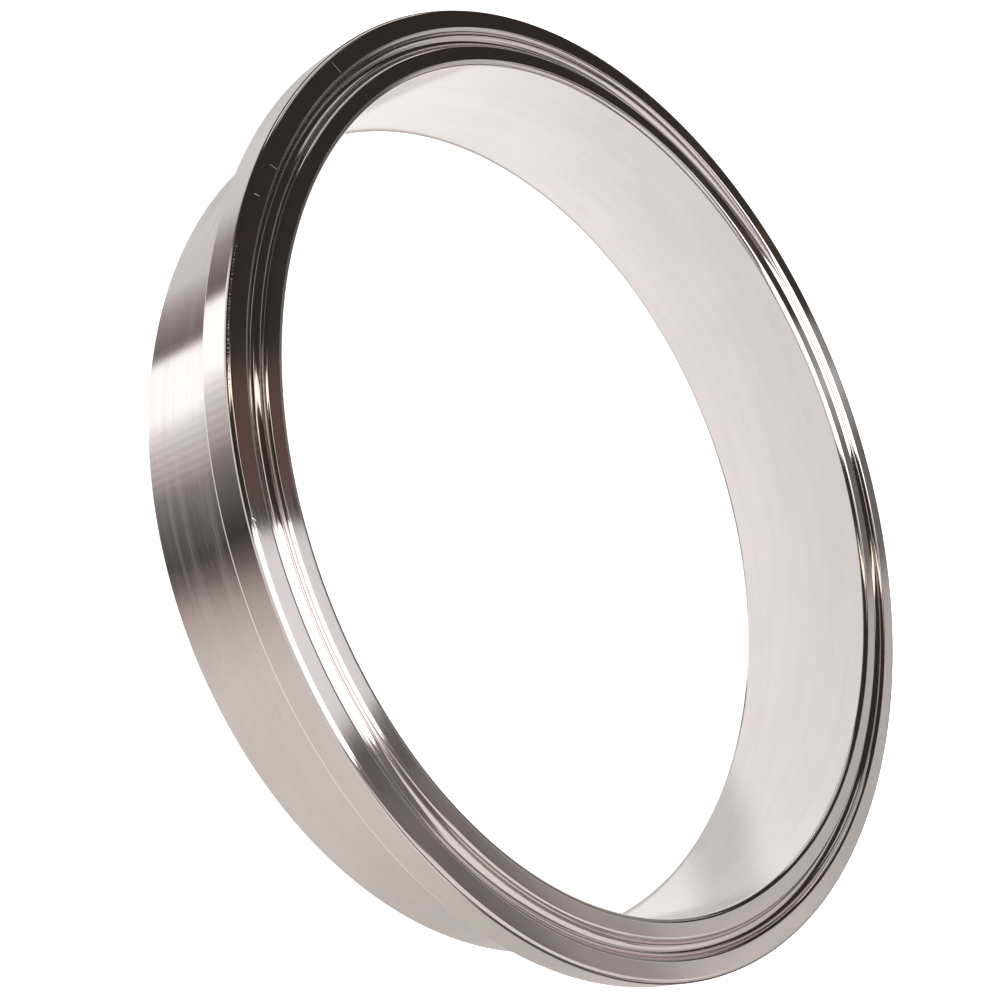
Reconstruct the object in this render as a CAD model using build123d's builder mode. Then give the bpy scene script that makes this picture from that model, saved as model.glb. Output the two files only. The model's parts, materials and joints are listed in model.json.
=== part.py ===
from build123d import *
from math import radians, tan
import os

# Sanitary clamp ferrule for 6 inch tube: a short butt-weld stub with a clamp flange, turned in one piece.
#
# Millimetres. +Z runs along the bore, from the weld end, which lies at Z = 0 and carries the part
# when it is set down, to the sealing face at the top. The origin is the centre of the weld end.

# Tube stub, which is butt-welded to a tube of the same size
tube_diameter = 152.4  # outside, 6 inch
wall_thickness = 2.77
overall_height = 28.575  # weld end to sealing face
weld_edge_break = 0.2  # deburring chamfer on both corners of the weld end

# Clamp flange, 166.88 across on this tube
flange_overhang = 7.24  # how far the rim stands out beyond the tube
rim_height = 5.59  # the cylindrical edge of the flange, corners included
back_angle = 20.0  # slope of the flange's back, where the clamp bears, from the sealing face
neck_radius = 3.0  # fillet where the flange's back runs into the tube
rim_face_break = 0.6  # chamfer between the rim and the sealing face
rim_back_break = 0.4
bore_edge_break = 0.5

# Half-round seat for the gasket's bead, in the sealing face, 156.7 across its centre line
groove_offset = 2.15  # from the tube's outside to the groove's centre line
groove_radius = 1.6  # of the half-round section, so also its depth
groove_lip_break = 0.4

tube_radius = tube_diameter / 2
bore_radius = tube_radius - wall_thickness
flange_radius = tube_radius + flange_overhang
groove_centre_radius = tube_radius + groove_offset
rim_back_z = overall_height - rim_height
neck_z = rim_back_z - flange_overhang * tan(radians(back_angle))

with BuildPart() as ferrule:
    # The section right of the axis: sketch X is the radius and sketch Y the height
    with BuildSketch(Plane.XZ) as section:
        with BuildLine():
            Polyline(
                (bore_radius, 0),
                (tube_radius, 0),
                (tube_radius, neck_z),
                (flange_radius, rim_back_z),
                (flange_radius, overall_height),
                (bore_radius, overall_height),
                close=True,
            )
        make_face()
        with Locations((groove_centre_radius, overall_height)):
            Circle(groove_radius, mode=Mode.SUBTRACT)

        # The corners of the sealing face: bore edge, the groove's two lips, and the rim
        groove_lips = section.vertices().group_by(Axis.Y)[-1].sort_by(Axis.X)[1:3]
        chamfer(groove_lips, groove_lip_break)
        bore_edge = section.vertices().group_by(Axis.Y)[-1].sort_by(Axis.X)[0]
        chamfer(bore_edge, bore_edge_break)
        rim_face_edge = section.vertices().group_by(Axis.X)[-1].sort_by(Axis.Y)[-1]
        chamfer(rim_face_edge, rim_face_break)

        # The corners behind it: rim, neck and weld end
        rim_back_edge = section.vertices().group_by(Axis.X)[-1].sort_by(Axis.Y)[0]
        chamfer(rim_back_edge, rim_back_break)
        neck = section.vertices().sort_by_distance((tube_radius, neck_z))[0]
        fillet(neck, neck_radius)
        weld_end_corners = section.vertices().group_by(Axis.Y)[0]
        chamfer(weld_end_corners, weld_edge_break)
    revolve(axis=Axis.Z)

ferrule.part.label = "clamp_ferrule"

os.makedirs("parts", exist_ok=True)
export_step(ferrule.part, "parts/clamp_ferrule.step")
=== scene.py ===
# %% [markdown]
# # Sanitary clamp ferrule
#
# A ferrule is the short flanged end that is welded to a stainless tube, so that a clamp can join
# two tubes with a gasket between them. This one is turned in one piece. It lies on its weld end with
# the sealing face up, in metres, with the bore along Z.
#
# The lesson draws the ring's section once, spins it round the bore's axis, and gives the metal
# the marks of the lathe. A polished ring is mostly a mirror, so half of its look is the studio
# round it, and that is built here too.

# %% Load the frame
import json
from math import cos, hypot, pi, radians, sin, tan

import bmesh
import bpy
from mathutils import Matrix, Vector


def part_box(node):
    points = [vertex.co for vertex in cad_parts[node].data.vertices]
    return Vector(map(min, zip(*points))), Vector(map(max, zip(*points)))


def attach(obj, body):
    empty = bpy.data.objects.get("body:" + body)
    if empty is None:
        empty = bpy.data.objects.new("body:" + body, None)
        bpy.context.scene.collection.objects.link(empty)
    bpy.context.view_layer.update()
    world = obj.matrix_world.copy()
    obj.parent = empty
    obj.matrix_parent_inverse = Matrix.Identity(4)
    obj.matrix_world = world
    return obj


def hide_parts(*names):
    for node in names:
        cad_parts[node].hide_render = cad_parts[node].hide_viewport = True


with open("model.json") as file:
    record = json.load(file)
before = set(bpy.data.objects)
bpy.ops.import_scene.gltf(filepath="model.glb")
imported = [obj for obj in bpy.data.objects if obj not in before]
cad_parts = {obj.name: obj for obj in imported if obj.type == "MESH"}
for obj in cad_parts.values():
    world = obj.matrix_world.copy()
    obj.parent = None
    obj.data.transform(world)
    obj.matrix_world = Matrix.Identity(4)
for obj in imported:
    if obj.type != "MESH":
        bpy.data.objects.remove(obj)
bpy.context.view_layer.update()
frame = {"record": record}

# %% [markdown]
# ## Sizes
#
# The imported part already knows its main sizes. The box of the node gives the flange and the height,
# and the mounts in the record give the tube, the bore and the groove. Reading them here, and not
# typing them again, keeps the fine model on the same surface as the plain one. The plain part has
# small chamfers where the real ring has polished rounds, so the rounds are typed here.

# %% Sizes
low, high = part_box("clamp_ferrule")
mounts = {mount["name"]: mount for mount in frame["record"]["mounts"]}
mm = 0.001

height = high.z
flange_radius = high.x
tube_radius = mounts["tube_end"]["dims"]["r_mm"] * mm
bore_radius = mounts["bore"]["dims"]["r_mm"] * mm
groove_centre = tube_radius + 2.15 * mm

rim_height = 5.59 * mm
back_angle = radians(20)

neck_round = 3.0 * mm
rim_back_round = 0.4 * mm
rim_face_round = 0.8 * mm
bore_edge_round = 0.95 * mm
weld_round = 0.2 * mm
outer_lip_round = 0.8 * mm
inner_lip_round = 0.6 * mm
groove_radius = 1.27 * mm
print("flange", flange_radius, "tube", tube_radius, "bore", bore_radius, "height", height)

# %% [markdown]
# ## A pen for the section
#
# A lathe cuts one outline all the way round, so the whole ring is one flat outline spun about the
# bore's axis. The outline could be typed as a long list of points, but its round corners would
# then be hard to change. Here a single vertex works as a pen in the XZ plane: extruding it draws a
# straight run, and spinning it about a centre draws an arc. The pen needs only the corners of the
# section and the radius of each.

# %% The pen
def pen_place():
    """Where the chosen vertex is."""
    mesh = bmesh.from_edit_mesh(bpy.context.object.data)
    return next(vertex.co.copy() for vertex in mesh.verts if vertex.select)


def line_to(x, z):
    step = Vector((x, 0, z)) - pen_place()
    if step.length > 1e-7:
        bpy.ops.mesh.extrude_region_move(TRANSFORM_OT_translate={"value": step})


def arc_to(centre, end, steps):
    """Draws the shorter arc about a centre from the pen's place to the end."""
    start_arm = pen_place() - centre
    end_arm = end - centre
    turn = start_arm.angle(end_arm)
    if start_arm.cross(end_arm).y > 0:
        turn = -turn
    bpy.ops.mesh.spin(steps=steps, angle=turn, center=centre, axis=(0, 1, 0), use_auto_merge=False)
    miss = (pen_place() - end).length
    assert miss < 1e-6, f"the arc ended {miss} m away"


# %% [markdown]
# ## Round corners
#
# A radius on a drawing touches both of the lines that meet in a corner. The distance from the
# corner to each touching point is the radius times the tangent of half the turn, and that is all
# that is needed to stop the straight run early and swing the pen round.

# %% A round corner
def round_corner(corner, after, radius, steps):
    """Runs up to a corner, rounds it off, and stops where the way to the next corner begins."""
    corner = Vector((corner[0], 0, corner[1]))
    after = Vector((after[0], 0, after[1]))
    arriving = (corner - pen_place()).normalized()
    leaving = (after - corner).normalized()
    reach = radius * tan(arriving.angle(leaving) / 2)
    start = corner - arriving * reach
    inward = (leaving - arriving).normalized()
    line_to(start.x, start.z)
    arc_to(corner + inward * hypot(radius, reach), corner + leaving * reach, steps)


# %% [markdown]
# ## Start on the weld end
#
# The outline starts in the middle of the weld end and goes out and up: the outside of the tube, the
# hollow neck under the flange, the tapered back that a clamp pulls on, and the rim. Each call runs
# to one corner and rounds it.

# %% Tube, neck and rim
rim_back_z = height - rim_height
neck_z = rim_back_z - (flange_radius - tube_radius) * tan(back_angle)

weld_in = (bore_radius, 0)
weld_out = (tube_radius, 0)
neck = (tube_radius, neck_z)
rim_back = (flange_radius, rim_back_z)
rim_face = (flange_radius, height)
bore_edge = (bore_radius, height)

bpy.ops.object.select_all(action="DESELECT")
bpy.ops.mesh.primitive_plane_add(size=1 * mm, location=(0, 0, 0))
ring = bpy.context.object
ring.name = "turned_ring"
bpy.ops.object.mode_set(mode="EDIT")
bpy.ops.mesh.select_mode(type="VERT")
bpy.ops.mesh.select_all(action="SELECT")
bpy.ops.mesh.merge(type="CENTER")
start = Vector(((bore_radius + tube_radius) / 2, 0, 0))
bpy.ops.transform.translate(value=start - pen_place())

round_corner(weld_out, neck, weld_round, 4)
round_corner(neck, rim_back, neck_round, 12)
round_corner(rim_back, rim_face, rim_back_round, 6)
round_corner(rim_face, bore_edge, rim_face_round, 12)
print("the rim's top corner ends at radius", round(pen_place().x / mm, 3), "mm")

# %% [markdown]
# ## The gasket groove
#
# A bead on the gasket sits in a round groove in the sealing face. Three arcs make it: a soft lip,
# the groove, and a second lip. Arcs that touch without a crease have their centres apart by the
# sum of the two radii, so the groove's centre is where two circles cross, one about each lip's
# centre.

# %% Groove and lips
outer_lip = Vector((groove_centre + 1.85 * mm, 0, height - outer_lip_round))
inner_lip = Vector((groove_centre - 2.0 * mm, 0, height - inner_lip_round))

outer_reach = groove_radius + outer_lip_round
inner_reach = groove_radius + inner_lip_round
between = inner_lip - outer_lip
along = (between.length_squared + outer_reach**2 - inner_reach**2) / (2 * between.length)
down = (outer_reach**2 - along**2) ** 0.5
way = between.normalized()
upward = Vector((-way.z, 0, way.x)) if way.x > 0 else Vector((way.z, 0, -way.x))
groove_middle = outer_lip + way * along + upward * down
below_face = height - groove_middle.z
print("groove centre", round(groove_middle.x / mm, 3), "below the face", round(below_face / mm, 3))

outer_touch = outer_lip + (groove_middle - outer_lip).normalized() * outer_lip_round
inner_touch = inner_lip + (groove_middle - inner_lip).normalized() * inner_lip_round
line_to(outer_lip.x, height)
arc_to(outer_lip, outer_touch, 12)
arc_to(groove_middle, groove_middle - Vector((0, 0, groove_radius)), 12)
arc_to(groove_middle, inner_touch, 12)
arc_to(inner_lip, Vector((inner_lip.x, 0, height)), 12)

# %% [markdown]
# ## Down the bore and close
#
# The last two corners are the bore's polished edge and its end. Then the pen is back where it
# started, and the doubled points are merged.

# %% Bore and close
round_corner(bore_edge, weld_in, bore_edge_round, 12)
round_corner(weld_in, weld_out, weld_round, 4)
line_to(start.x, start.z)
bpy.ops.mesh.select_all(action="SELECT")
bpy.ops.mesh.remove_doubles(threshold=1e-6)
bpy.ops.object.mode_set(mode="OBJECT")
print("outline", len(ring.data.vertices), "points")

# %% [markdown]
# ## Spin it round the bore
#
# One turn in 360 steps leaves flats of half a degree each side, far below what shows. After the
# first and last copies are merged, the normals are worked out again, because a spin can leave the
# skin inside out. Smooth shading alone would tilt the light on the flat lands beside each round
# corner. A Weighted Normal modifier lets the large faces decide, so the lands stay flat.

# %% The ring
turn_steps = 360

bpy.ops.object.mode_set(mode="EDIT")
bpy.ops.mesh.select_all(action="SELECT")
bpy.ops.mesh.spin(steps=turn_steps, angle=2 * pi, center=(0, 0, 0), axis=(0, 0, 1))
bpy.ops.mesh.select_all(action="SELECT")
bpy.ops.mesh.remove_doubles(threshold=1e-6)
bpy.ops.mesh.normals_make_consistent(inside=False)
bpy.ops.object.mode_set(mode="OBJECT")
bpy.ops.object.shade_smooth()
bpy.ops.object.transform_apply(location=True, rotation=True, scale=True)
weighted = ring.modifiers.new("weighted_normal", "WEIGHTED_NORMAL")
weighted.weight = 100
bpy.ops.object.modifier_apply(modifier=weighted.name)
print("ring", len(ring.data.polygons), "faces", tuple(ring.dimensions))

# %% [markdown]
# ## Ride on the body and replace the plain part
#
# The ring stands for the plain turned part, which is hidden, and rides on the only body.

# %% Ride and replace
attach(ring, "root")
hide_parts("clamp_ferrule")

# %% [markdown]
# ## Short hands for nodes
#
# A material is a small circuit. These helpers add one node of the circuit, set its choices and
# join its inputs, so that each line below reads as one thought: a value is either typed into a
# socket or wired to it from another node.

# %% Node helpers
def wire(tree, socket, value):
    if isinstance(value, bpy.types.NodeSocket):
        tree.links.new(value, socket)
    elif value is not None:
        socket.default_value = value


def add(tree, kind, inputs=(), **choices):
    """Adds a node, sets its choices, and wires its inputs by name or number."""
    node = tree.nodes.new(kind)
    for name, choice in choices.items():
        setattr(node, name, choice)
    for name, value in dict(inputs).items():
        wire(tree, node.inputs[name], value)
    return node


def calc(tree, operation, a, b=None, c=None):
    """One Math node, such as "ADD" or "SINE"."""
    return add(tree, "ShaderNodeMath", {0: a, 1: b, 2: c}, operation=operation).outputs[0]


def times(tree, a, b):
    return calc(tree, "MULTIPLY", a, b)


def vector_calc(tree, operation, a, b=None, scale=None):
    """One Vector Math node. Some operations give a number, and the rest a vector."""
    node = add(tree, "ShaderNodeVectorMath", {0: a, 1: b}, operation=operation)
    if scale is not None:
        wire(tree, node.inputs["Scale"], scale)
    gives_number = operation in ("LENGTH", "DISTANCE", "DOT_PRODUCT")
    return node.outputs["Value" if gives_number else "Vector"]


def ease(tree, value, low_edge, high_edge, to_low=0.0, to_high=1.0):
    """A smooth step from one value to another while the input crosses two edges."""
    settings = {
        "Value": value,
        "From Min": low_edge,
        "From Max": high_edge,
        "To Min": to_low,
        "To Max": to_high,
    }
    return add(tree, "ShaderNodeMapRange", settings, interpolation_type="SMOOTHSTEP").outputs[0]


def mix_colours(tree, share, first, second):
    return add(tree, "ShaderNodeMix", {0: share, 6: first, 7: second}, data_type="RGBA").outputs[2]


def new_group(name, sockets_in, sockets_out):
    group = bpy.data.node_groups.new(name, "ShaderNodeTree")
    for socket_name, kind, value in sockets_in:
        socket = group.interface.new_socket(socket_name, in_out="INPUT", socket_type=kind)
        if value is not None:
            socket.default_value = value
    for socket_name in sockets_out:
        group.interface.new_socket(socket_name, in_out="OUTPUT", socket_type="NodeSocketFloat")
    entry = group.nodes.new("NodeGroupInput").outputs
    leave = group.nodes.new("NodeGroupOutput").inputs
    return group, entry, leave


def place_on_ring(tree):
    """Object coordinates, their parts, the distance from the axis and the direction round it."""
    coords = add(tree, "ShaderNodeTexCoord").outputs["Object"]
    parts = add(tree, "ShaderNodeSeparateXYZ", {0: coords}).outputs
    flat = add(tree, "ShaderNodeCombineXYZ", {0: parts["X"], 1: parts["Y"]}).outputs[0]
    return coords, parts, vector_calc(tree, "LENGTH", flat), vector_calc(tree, "NORMALIZE", flat)


# %% [markdown]
# ## The marks of the lathe
#
# The tool leaves a fine thread round the ring: rings on the face and in the groove, and rings up
# the walls. They could be drawn by a wave texture, but a real cut is never so even. Noise that is
# stretched a long way round the ring looks right. The noise has four dimensions: the distance
# from the axis and the height, both squeezed hard, and the two parts of the direction round
# the ring, hardly squeezed at all, so that the lines close on themselves without a seam. The group
# takes how many lines there are to the metre and how often they break on the way round. It gives
# fine lines, and broad ones that are the same thing at an eighth of the rate.

# %% Turning lines
turning, given, result = new_group(
    "turning_lines",
    [("Lines per Metre", "NodeSocketFloat", 3000.0), ("Breaks Round", "NodeSocketFloat", 5.0)],
    ["Fine", "Broad"],
)
_, parts, from_axis, direction = place_on_ring(turning)
heading = add(turning, "ShaderNodeSeparateXYZ", {0: direction}).outputs

for output, share_of_lines, share_of_turns in (("Fine", 1.0, 1.0), ("Broad", 0.12, 0.5)):
    rate = times(turning, given["Lines per Metre"], share_of_lines)
    turns = times(turning, given["Breaks Round"], share_of_turns)
    place = {
        0: times(turning, from_axis, rate),
        1: times(turning, heading["X"], turns),
        2: times(turning, heading["Y"], turns),
    }
    settings = {
        "Vector": add(turning, "ShaderNodeCombineXYZ", place).outputs[0],
        "W": times(turning, parts["Z"], rate),
        "Scale": 1.0,
        "Detail": 2.0,
        "Roughness": 0.6,
    }
    noise = add(turning, "ShaderNodeTexNoise", settings, noise_dimensions="4D")
    wire(turning, result[output], noise.outputs[0])
print("group", turning.name, [item.name for item in turning.interface.items_tree])

# %% [markdown]
# ## One scratch
#
# A scratch is a short straight line where something hard touched the polish. Its mask is the
# distance from the nearest point of the line, turned into a soft edge. The nearest point is the
# start plus a share of the way to the end, and that share is a dot product, kept between 0 and 1.
# One group does this for any two ends, so every scratch is the same circuit with its own numbers.

# %% Scratch group
scratch, given, result = new_group(
    "scratch",
    [
        ("Start", "NodeSocketVector", None),
        ("End", "NodeSocketVector", None),
        ("Width", "NodeSocketFloat", 0.1 * mm),
    ],
    ["Mask"],
)
coords = add(scratch, "ShaderNodeTexCoord").outputs["Object"]
whole = vector_calc(scratch, "SUBTRACT", given["End"], given["Start"])
reached = vector_calc(scratch, "SUBTRACT", coords, given["Start"])
along_line = vector_calc(scratch, "DOT_PRODUCT", reached, whole)
share = calc(scratch, "DIVIDE", along_line, vector_calc(scratch, "DOT_PRODUCT", whole, whole))
share = add(scratch, "ShaderNodeClamp", {0: share}).outputs[0]
nearest = vector_calc(scratch, "SCALE", whole, scale=share)
gap = vector_calc(scratch, "DISTANCE", reached, nearest)
closeness = calc(scratch, "SUBTRACT", 1.0, calc(scratch, "DIVIDE", gap, given["Width"]))
wire(scratch, result["Mask"], add(scratch, "ShaderNodeClamp", {0: closeness}).outputs[0])
print("group", scratch.name, [item.name for item in scratch.interface.items_tree])

# %% [markdown]
# ## Turned stainless steel
#
# Stainless steel is a slightly warm grey metal. Metallic is 1, so Base Color is the colour of its
# reflections. The lathe's lines are too fine to see one by one, and they spread each reflection
# across them: that is what Anisotropic does. Its direction comes from a radial tangent round Z,
# and a quarter turn makes the spread run across the lines. The finish is close to a mirror, so
# Roughness is low.

# %% Steel base
steel = bpy.data.materials.new("turned_stainless_steel")
steel.use_nodes = True
tree = steel.node_tree
metal = tree.nodes["Principled BSDF"]
metal.inputs["Metallic"].default_value = 1
metal.inputs["Anisotropic"].default_value = 0.7
metal.inputs["Anisotropic Rotation"].default_value = 0.25
tangent = add(tree, "ShaderNodeTangent", direction_type="RADIAL", axis="Z")
wire(tree, metal.inputs["Tangent"], tangent.outputs[0])
ring.data.materials.append(steel)
print("steel on", ring.name)

# %% [markdown]
# ## Where the finish changes
#
# The face and the outside are polished after turning, and the bore keeps a more even satin. A mask
# from the distance to the axis tells them apart. A second, slow noise stands for the uneven
# pressure of the polishing wheel and for handling, and shows as a faint cloud in the reflections.

# %% Masks
coords, parts, from_axis, direction = place_on_ring(tree)
bore_mask_end = bore_radius + 0.5 * mm
in_bore = ease(tree, from_axis, bore_radius + 0.1 * mm, bore_mask_end, 1.0, 0.0)


def turning_marks(lines_per_metre, breaks_round):
    """The group of turning lines, placed in the steel."""
    settings = {"Lines per Metre": lines_per_metre, "Breaks Round": breaks_round}
    return add(tree, "ShaderNodeGroup", settings, node_tree=turning).outputs


lines = turning_marks(3300.0, 6.0)
cloud_settings = {"Vector": coords, "Scale": 60.0, "Detail": 3.0, "Roughness": 0.55}
cloud = add(tree, "ShaderNodeTexNoise", cloud_settings).outputs[0]
print("bore mask ends", round(bore_mask_end / mm, 2), "mm from the axis")

# %% [markdown]
# ## Hairlines
#
# The ring has been handled, and a few hairlines cross the face. They are placed by the angle round
# the ring and the distance from the axis, as one would mark them on the part. A scratch scatters
# light where the polish reflects it one way, so in a dark reflection it shows bright.

# %% Hairlines
def on_face(angle, radius):
    """A point of the sealing face, by degrees round the ring and millimetres from the axis."""
    turn = radians(angle)
    return Vector((cos(turn) * radius * mm, sin(turn) * radius * mm, height))


# Each is its start and its end, by degrees and millimetres, and its width in millimetres.
hairlines = [
    ((-137.7, 81.5), (-137.8, 80.2), 0.05),
    ((-133.2, 82.3), (-133.3, 81.4), 0.03),
    ((-155.7, 82.4), (-155.9, 80.4), 0.025),
    ((-161.5, 78.4), (-161.6, 78.3), 0.15),
    ((-99.2, 83.3), (-98.7, 82.5), 0.09),
    ((-98.6, 82.9), (-96.9, 82.2), 0.04),
    ((-118.5, 74.0), (-113.0, 73.6), 0.03),
    ((-24.3, 74.5), (-24.2, 74.1), 0.08),
]
marks = 0.0
for begin, end, width in hairlines:
    settings = {"Start": on_face(*begin), "End": on_face(*end), "Width": width * mm}
    hairline = add(tree, "ShaderNodeGroup", settings, node_tree=scratch).outputs[0]
    marks = calc(tree, "MAXIMUM", marks, hairline)
print(len(hairlines), "hairlines")

# %% [markdown]
# ## A row of nicks
#
# One stretch of the face's outer edge has knocked against something, and shows a dotted line of
# tiny bright nicks. Placing each by hand is no better than a rule: a noise that changes quickly
# round the ring is cut off high, kept to a band as narrow as the edge, and kept to one stretch by
# comparing the direction from the axis with the middle of that stretch.

# %% Nicks
dots = add(tree, "ShaderNodeTexNoise", {"Vector": direction, "Scale": 420.0, "Detail": 1.0}).outputs[0]
dots = ease(tree, dots, 0.50, 0.62)
edge_start = flange_radius - rim_face_round
on_edge = times(
    tree,
    ease(tree, from_axis, edge_start + 0.36 * mm, edge_start + 0.42 * mm),
    ease(tree, from_axis, edge_start + 0.52 * mm, edge_start + 0.58 * mm, 1.0, 0.0),
)

stretch_angle = radians(-119.5)
stretch_middle = Vector((cos(stretch_angle), sin(stretch_angle), 0))
toward = vector_calc(tree, "DOT_PRODUCT", direction, stretch_middle)
stretch = ease(tree, toward, cos(radians(8.5)), cos(radians(6.5)))
nicks = times(tree, times(tree, dots, on_edge), stretch)
near_face = ease(tree, parts["Z"], height - 1.5 * mm, height - 1.0 * mm)
marks = calc(tree, "MAXIMUM", marks, times(tree, nicks, near_face))
print("nicks about", round((edge_start + 0.47 * mm) / mm, 2), "mm from the axis")

# %% [markdown]
# ## Streaks on the tube
#
# The outside of the tube was only brushed, and its strokes run round it. In a bright reflection
# they vanish, but where the tube mirrors something dark they stand out pale, because rough strokes
# catch the light from everywhere. Taking a little of the metal away in them does the same.

# %% Streaks
on_tube = times(
    tree,
    ease(tree, from_axis, tube_radius - 0.6 * mm, tube_radius - 0.3 * mm),
    ease(tree, parts["Z"], neck_z - 1 * mm, neck_z + 1 * mm, 1.0, 0.0),
)
strokes = turning_marks(9000.0, 5.0)
broad_streaks = times(tree, ease(tree, strokes["Broad"], 0.42, 0.68), on_tube)
fine_streaks = times(tree, ease(tree, strokes["Fine"], 0.45, 0.75), on_tube)
bare = calc(tree, "MULTIPLY_ADD", broad_streaks, 0.12, times(tree, fine_streaks, 0.16))
wire(tree, metal.inputs["Metallic"], calc(tree, "SUBTRACT", 1.0, bare))
print("streaks end", round((neck_z + 1 * mm) / mm, 2), "mm up the tube")

# %% [markdown]
# ## Put the steel together
#
# Three sockets carry the detail. Base Color goes a little up and down with the broad lines and the
# cloud. Roughness follows the same lines, is higher in the bore, and jumps in the scratches. Bump
# sinks the scratches by eight thousandths of a millimetre, and the fine lines by under one.

# %% Wire the steel
darker_steel = (0.755, 0.69, 0.668, 1)
paler_steel = (0.80, 0.73, 0.708, 1)
tone = calc(tree, "MULTIPLY_ADD", lines["Broad"], 0.5, times(tree, cloud, 0.5))
colour = mix_colours(tree, ease(tree, tone, 0.35, 0.65), darker_steel, paler_steel)
wire(tree, metal.inputs["Base Color"], colour)

grain = calc(tree, "MULTIPLY_ADD", lines["Fine"], 0.05, 0.06)
clouded = calc(tree, "MULTIPLY_ADD", ease(tree, cloud, 0.45, 0.75), 0.03, grain)
satin = calc(tree, "MULTIPLY_ADD", in_bore, 0.06, clouded)
wire(tree, metal.inputs["Roughness"], calc(tree, "MULTIPLY_ADD", marks, 0.5, satin))

deepest_mark = 0.008 * mm
line_depth = ease(tree, in_bore, 0.0, 1.0, 0.1, 0.02)
depth = calc(tree, "MULTIPLY_ADD", marks, -1.0, times(tree, lines["Fine"], line_depth))
bump = add(tree, "ShaderNodeBump", {"Strength": 1.0, "Distance": deepest_mark, "Height": depth})
wire(tree, metal.inputs["Normal"], bump.outputs[0])
print("steel", len(tree.nodes), "nodes")

# %% [markdown]
# ## Floor
#
# A plain white paper lies under the ring. What the camera sees of it comes up to white, while its
# own colour stays a plain pale grey. The ring's shadow still falls on it. The paper is hidden from
# mirror reflections, because the studio's lower half is painted in the world instead, where each
# card can have its own place.

# %% Paper floor
bpy.ops.object.select_all(action="DESELECT")
bpy.ops.mesh.primitive_plane_add(size=3.0, location=(0, 0, 0))
floor = bpy.context.object
floor.name = "studio_floor"
floor.visible_glossy = False

paper = bpy.data.materials.new("white_paper")
paper.use_nodes = True
matt = paper.node_tree.nodes["Principled BSDF"]
matt.inputs["Base Color"].default_value = (0.85, 0.85, 0.85, 1)
matt.inputs["Roughness"].default_value = 1
matt.inputs["Specular IOR Level"].default_value = 0
matt.inputs["Emission Color"].default_value = (1, 1, 1, 1)
seen = add(paper.node_tree, "ShaderNodeLightPath").outputs["Is Camera Ray"]
wire(paper.node_tree, matt.inputs["Emission Strength"], calc(paper.node_tree, "MULTIPLY", seen, 0.75))
floor.data.materials.append(paper)
print("floor", tuple(round(size, 3) for size in floor.dimensions), "m")

# %% [markdown]
# ## A glowing card inside the ring, a painted reflection
#
# The bore reflects the paper inside the ring. A disc just above the paper, seen only by mirror
# reflections, glows in its place as a painted reflection of the lit paper. Its painted light is a
# little darker in the middle and brighter towards the left, and it has a painted shadow beside the
# right-hand wall.

# %% Card
bpy.ops.object.select_all(action="DESELECT")
card_radius = bore_radius - 0.5 * mm
card_place = (0, 0, 0.05 * mm)
bpy.ops.mesh.primitive_circle_add(vertices=96, radius=card_radius, fill_type="NGON", location=card_place)
card = bpy.context.object
card.name = "glowing_reflection_disc"
card.visible_camera = False
card.visible_shadow = False
card.visible_diffuse = False

painted_reflection_glow = bpy.data.materials.new("painted_reflection_glow")
painted_reflection_glow.use_nodes = True
tree = painted_reflection_glow.node_tree
matt = tree.nodes["Principled BSDF"]
matt.inputs["Base Color"].default_value = (0, 0, 0, 1)
matt.inputs["Specular IOR Level"].default_value = 0
matt.inputs["Emission Color"].default_value = (1, 1, 1, 1)
coords = add(tree, "ShaderNodeTexCoord").outputs["Object"]
parts = add(tree, "ShaderNodeSeparateXYZ", {0: coords}).outputs
from_middle = vector_calc(tree, "LENGTH", coords)
# Painted light: the glow is dimmer in the middle and brighter towards the left.
glow = ease(tree, from_middle, 30 * mm, 75 * mm, 0.86, 1.0)
glow = calc(tree, "ADD", glow, ease(tree, parts["X"], -65 * mm, -15 * mm, 0.09, 0.0))
# A painted shadow beside the right-hand wall dims the glow.
shade_middle = Vector((68, 26, 0)) * mm
from_shade = vector_calc(tree, "DISTANCE", coords, shade_middle)
glow = times(tree, glow, ease(tree, from_shade, 5 * mm, 18 * mm, 0.72, 1.0))
wire(tree, matt.inputs["Emission Strength"], glow)
card.data.materials.append(painted_reflection_glow)
print("card", round(card_radius / mm, 2), "mm in radius")

# %% [markdown]
# ## A studio painted on the sky
#
# Real softboxes and flags would need a dozen lamps. Painting them in the world costs nothing, and
# every one can have a crisp edge where the steel shows it. The upper half of the sky is treated
# as a flat ceiling: dividing the X and Y of a direction by its Z gives the place where it meets a
# ceiling one metre up. A card there is a range of X and a range of Y, with sides that may lean.

# %% Ceiling coordinates
scene = bpy.context.scene
world = bpy.data.worlds.new("studio")
scene.world = world
world.use_nodes = True
sky_tree = world.node_tree
looking = add(sky_tree, "ShaderNodeTexCoord").outputs["Generated"]
look = add(sky_tree, "ShaderNodeSeparateXYZ", {0: looking}).outputs
rise = calc(sky_tree, "MAXIMUM", look["Z"], 0.001)
ceiling_x = calc(sky_tree, "DIVIDE", look["X"], rise)
ceiling_y = calc(sky_tree, "DIVIDE", look["Y"], rise)


def between_edges(value, low_edge, high_edge, soft):
    rising = ease(sky_tree, value, low_edge - soft / 2, low_edge + soft / 2)
    falling = ease(sky_tree, value, high_edge - soft / 2, high_edge + soft / 2, 1.0, 0.0)
    return times(sky_tree, rising, falling)


def paint(under, colour, strength, mask):
    """Lays a colour over what is there, where the mask is 1."""
    if isinstance(under, tuple):
        under = (*under, 1)
    bright = (*(part * strength for part in colour), 1)
    return mix_colours(sky_tree, mask, under, bright)


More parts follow.
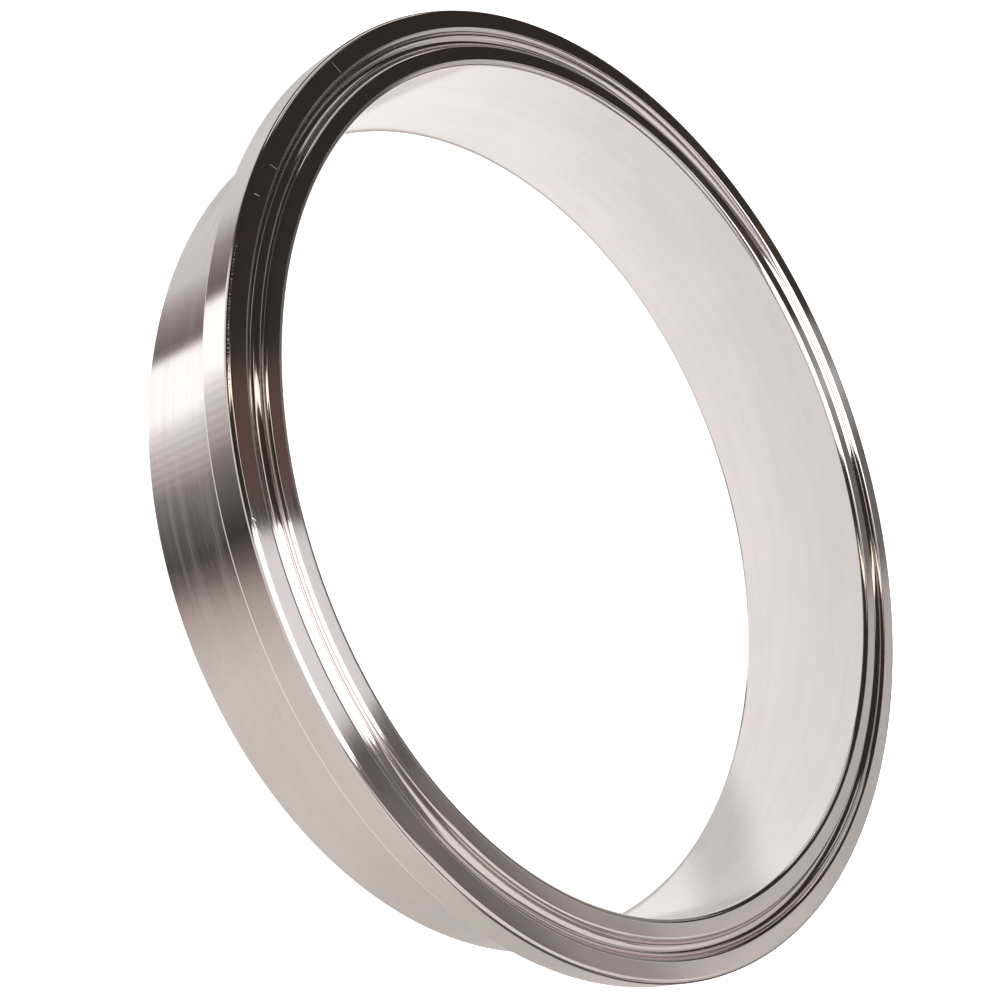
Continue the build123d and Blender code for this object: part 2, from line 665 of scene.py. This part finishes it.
def ceiling_card(under, colour, strength, x_range, y_range, soft, lean):
    """A card on the ceiling. Its left and right sides lean by so much X for each metre of Y."""
    left_x = calc(sky_tree, "SUBTRACT", ceiling_x, times(sky_tree, ceiling_y, lean[0]))
    right_x = calc(sky_tree, "SUBTRACT", ceiling_x, times(sky_tree, ceiling_y, lean[1]))
    inside_left = ease(sky_tree, left_x, x_range[0] - soft / 2, x_range[0] + soft / 2)
    inside_right = ease(sky_tree, right_x, x_range[1] - soft / 2, x_range[1] + soft / 2, 1.0, 0.0)
    across = times(sky_tree, inside_left, inside_right)
    mask = times(sky_tree, across, between_edges(ceiling_y, *y_range, soft))
    return paint(under, colour, strength, mask)


# %% [markdown]
# ## The upper half
#
# The left of the studio is dark, and the right is a grey wall that is brighter further away, with
# large pale papers low at its side. The main softbox hangs over the ring and narrows with distance.
# Beside it hangs a narrow cream lamp. Past its far end come a pale paper, then a small card with a
# brighter middle, and then the dark far side of the room. Each card is a line of the list: its
# colour, its strength, its range of X, its range of Y, how soft its edges are and how its sides
# lean. A card that is laid later covers the ones before it, so the softbox comes last.

# %% Ceiling cards
dark = (0.034, 0.028, 0.024)
warm_grey = (1, 0.93, 0.89)
cream = (1, 0.93, 0.80)
cool_white = (0.97, 0.96, 1.0)

wall_white = (1, 0.97, 0.93)
paper_white = (1, 0.95, 0.93)

no_end = 9
horizon = 900
upright = (0, 0)

cards = [
    # the wall on the right, from near to far
    (warm_grey, 0.165, (0.14, no_end), (-no_end, 1.04), 0.05, upright),
    (warm_grey, 0.38, (0.14, no_end), (1.04, 1.17), 0.09, upright),
    (wall_white, 0.56, (0.25, no_end), (1.17, no_end), 0.08, upright),
    (wall_white, 0.66, (0.49, no_end), (1.30, 1.46), 0.06, upright),
    (warm_grey, 0.17, (0.08, 0.26), (1.3, no_end), 0.05, upright),
    # a small card with a brighter middle, and a thin orange strip to its left
    ((0.97, 1, 0.98), 0.40, (-0.05, 0.09), (1.7, 1.98), 0.03, upright),
    ((0.98, 1, 1), 0.66, (0.012, 0.048), (1.72, 1.96), 0.02, upright),
    ((1, 0.6, 0.3), 0.11, (-0.172, -0.152), (1.5, 2.1), 0.01, upright),
    # the far side of the room: two wedges that open from nothing as they go away
    (warm_grey, 0.10, (0, 0), (2.1, horizon), 0.1, (0, 0.33)),
    (warm_grey, 0.30, (0, 0), (2.2, horizon), 0.2, (-0.35, 0)),
    # a pale paper past the softbox, and three thin strips beside it
    ((1, 0.96, 0.93), 0.60, (-0.18, 0.36), (1.14, 1.40), 0.08, upright),
    ((1, 0.62, 0.5), 0.12, (-0.16, -0.05), (0.6, 1.02), 0.02, upright),
    ((1, 0.88, 0.85), 0.085, (0.16, 0.20), (0.7, 1.0), 0.02, upright),
    ((1, 0.9, 0.87), 0.21, (0.225, 0.262), (0.9, 1.0), 0.015, upright),
    # large pale papers low on the right, and one low on the left
    (paper_white, 0.90, (0.60, 2.4), (-no_end, 0.57), 0.06, (-0.45, 0)),
    (paper_white, 0.80, (0.53, 1.5), (0.84, 1.32), 0.06, upright),
    (paper_white, 0.85, (0.66, 2.0), (0.54, 0.88), 0.08, upright),
    ((1, 0.98, 0.96), 0.55, (-2.5, -1.25), (0.55, 1.4), 0.16, upright),
    # the narrow cream lamp and its arm
    (cream, 1.6, (-0.44, -0.36), (-1.4, 0.3), 0.02, (0.70, 0.57)),
    (cream, 1.2, (-0.42, -0.10), (0.06, 0.2), 0.03, upright),
    # the softbox: its dim near end, its dim far end, and the bright sheet between them
    (cool_white, 1.0, (-0.105, 0.29), (-no_end, -1.25), 0.02, (0.205, -0.47)),
    (cool_white, 0.93, (-0.105, 0.29), (0.0, 1.02), 0.008, (0.085, -0.162)),
    (cool_white, 2.6, (-0.105, 0.29), (0.0, 0.74), 0.008, (0.085, -0.162)),
    (cool_white, 2.6, (-0.105, 0.295), (-1.3, 0.01), 0.008, (0.205, -0.47)),
]
sky = dark
for colour, strength, x_range, y_range, soft, lean in cards:
    sky = ceiling_card(sky, colour, strength, x_range, y_range, soft, lean)
print("ceiling", len(cards), "cards")

# %% [markdown]
# ## The lower half
#
# The outside of the ring stands upright, so it reflects the table and what stands round it, below
# the horizon. Here the bearing is what counts: degrees round the studio from the side of the
# camera, positive to the right. These things shade into each other, so one colour ramp is simpler
# than separate cards. From the left it goes past a grey wall, a brown flag with a crisp end, a
# bright reflector, the shade beside it that deepens to the dark camera, and a long pale table.

# %% Round the table
toward_camera = times(sky_tree, look["Y"], -1.0)
bearing = calc(sky_tree, "DEGREES", calc(sky_tree, "ARCTAN2", look["X"], toward_camera))
share_round = calc(sky_tree, "MULTIPLY_ADD", bearing, 1 / 360, 0.5)

cold, neutral, brown, beige = (1, 0.99, 0.97), (1, 0.92, 0.92), (1, 0.82, 0.76), (1, 0.97, 0.91)
# Each stop is a bearing, a strength and a tint.
stops = [
    (-140, 0.62, cold),
    (-118, 0.76, cold),
    (-99, 0.73, cold),
    (-90, 0.38, (1, 0.90, 0.86)),
    (-80, 0.19, brown),
    (-76.4, 0.18, brown),
    (-74.8, 1.40, (1, 1, 1)),
    (-58, 1.40, (1, 1, 1)),
    (-50, 0.88, cold),
    (-42, 0.58, neutral),
    (-37, 0.25, neutral),
    (-28, 0.12, neutral),
    (-18, 0.045, brown),
    (-12, 0.16, brown),
    (-3, 0.50, (1, 0.87, 0.79)),
    (8, 0.65, (1, 0.95, 0.88)),
    (18, 0.73, beige),
    (60, 0.73, beige),
    (95, 0.62, beige),
    (112, 0.57, beige),
    (130, 0.63, (1, 0.92, 0.88)),
]
ramp_node = add(sky_tree, "ShaderNodeValToRGB", {0: share_round})
ramp = ramp_node.color_ramp.elements
for number, (angle, strength, tint) in enumerate(stops):
    place = angle / 360 + 0.5
    stop = ramp[number] if number < 2 else ramp.new(place)
    stop.position = place
    stop.color = (*(part * strength for part in tint), 1)
table = ramp_node.outputs["Color"]
print("ramp", len(ramp), "stops")

# %% [markdown]
# ## High and low on the table
#
# Close to the ring, straight down, everything is white paper. Behind the ring the table ends soon
# and the dark room begins, and on the camera's side the paper curves up as far as the horizon.
# Slats beside the reflector give the steel a little rhythm.

# %% Slats, table edge and paper
slat_pitch = 2.3
slat_colour = (0.12, 0.11, 0.10)
ripple = calc(sky_tree, "SINE", times(sky_tree, bearing, 2 * pi / slat_pitch))
slat_shade = ease(sky_tree, ripple, -0.4, 0.7, 0.0, 0.45)
table = paint(table, slat_colour, 1.0, times(sky_tree, between_edges(bearing, -57, -38, 6), slat_shade))

room_colour = (0.13, 0.12, 0.115)
to_the_side = calc(sky_tree, "ABSOLUTE", bearing)
far = ease(sky_tree, look["Z"], -0.46, -0.40)
table = paint(table, room_colour, 1.0, times(sky_tree, far, ease(sky_tree, to_the_side, 60, 75)))
table = paint(table, dark, 1.5, times(sky_tree, far, between_edges(bearing, -140, -66, 10)))

risen = ease(sky_tree, look["Z"], -0.55, -0.48)
near_camera = ease(sky_tree, to_the_side, 60, 75, 1.0, 0.0)
table = paint(table, (1, 0.96, 0.94), 0.85, times(sky_tree, risen, near_camera))
table = paint(table, (1, 0.99, 0.97), 1.2, ease(sky_tree, look["Z"], -0.84, -0.80, 1.0, 0.0))
print("slats every", slat_pitch, "degrees")

# %% [markdown]
# ## Join the halves
#
# The two halves meet in a soft horizon, with one long low window on the left just above it. The
# camera itself must see plain white behind the ring, so Light Path swaps the whole studio for white
# on camera rays. They could be mixed as colours, but then every ray would work out all the cards.
# Mixed as lights, with Mix Shader, a half that a ray doesn't need is skipped, and the ring renders
# faster.

# %% Sky
window_width = between_edges(bearing, -138, -94, 4)
low_window = times(sky_tree, window_width, between_edges(look["Z"], 0.04, 0.20, 0.03))
sky = paint(sky, (1, 0.98, 0.96), 1.5, low_window)


def light_of(colour):
    return add(sky_tree, "ShaderNodeBackground", {"Color": colour, "Strength": 1.0}).outputs[0]


def mix_lights(share, first, second):
    return add(sky_tree, "ShaderNodeMixShader", {0: share, 1: first, 2: second}).outputs[0]


above = ease(sky_tree, look["Z"], -0.03, 0.03)
studio = mix_lights(above, light_of(table), light_of(sky))
seen = add(sky_tree, "ShaderNodeLightPath").outputs["Is Camera Ray"]
shown = mix_lights(seen, studio, light_of((1, 1, 1, 1)))
sky_tree.nodes.remove(sky_tree.nodes["Background"])
wire(sky_tree, sky_tree.nodes["World Output"].inputs["Surface"], shown)
print("studio", len(sky_tree.nodes), "nodes")

# %% [markdown]
# ## Key light
#
# One wide, soft lamp high over the ring lights the paper and gives the ring a faint shadow. It is
# hidden from reflections, because the painted softbox is what the steel should show.

# %% Lamp
lamp = bpy.data.lights.new("overhead_softbox", "AREA")
lamp.energy = 6
lamp.size = 1.2
key = bpy.data.objects.new("overhead_softbox", lamp)
key.location = (0.2, 0.1, 1.0)
key.visible_glossy = False
scene.collection.objects.link(key)
print("lamp", lamp.energy, "W,", round(lamp.size, 2), "m wide")

# %% [markdown]
# ## Camera
#
# The camera looks down on the face from close by, turned so that the ring stands tall in the
# view. Its right and up directions are written out, and the third axis follows from them.

# %% Camera
lens = bpy.data.cameras.new("product_camera")
lens.sensor_width = 36
lens.lens = 60.83
lens.clip_start = 0.01
camera = bpy.data.objects.new("product_camera", lens)
right = Vector((0.35185, 0.59916, 0.71918))
up_axis = Vector((-0.93600, 0.23385, 0.26310))
turn = Matrix((right, up_axis, right.cross(up_axis))).transposed().to_4x4()
eye = Vector((-0.00605, -0.23226, 0.19581))
camera.matrix_world = Matrix.Translation(eye) @ turn
scene.collection.objects.link(camera)
scene.camera = camera
scene.view_settings.view_transform = "Standard"
print("camera", round(eye.length / mm), "mm from the middle of the weld end")
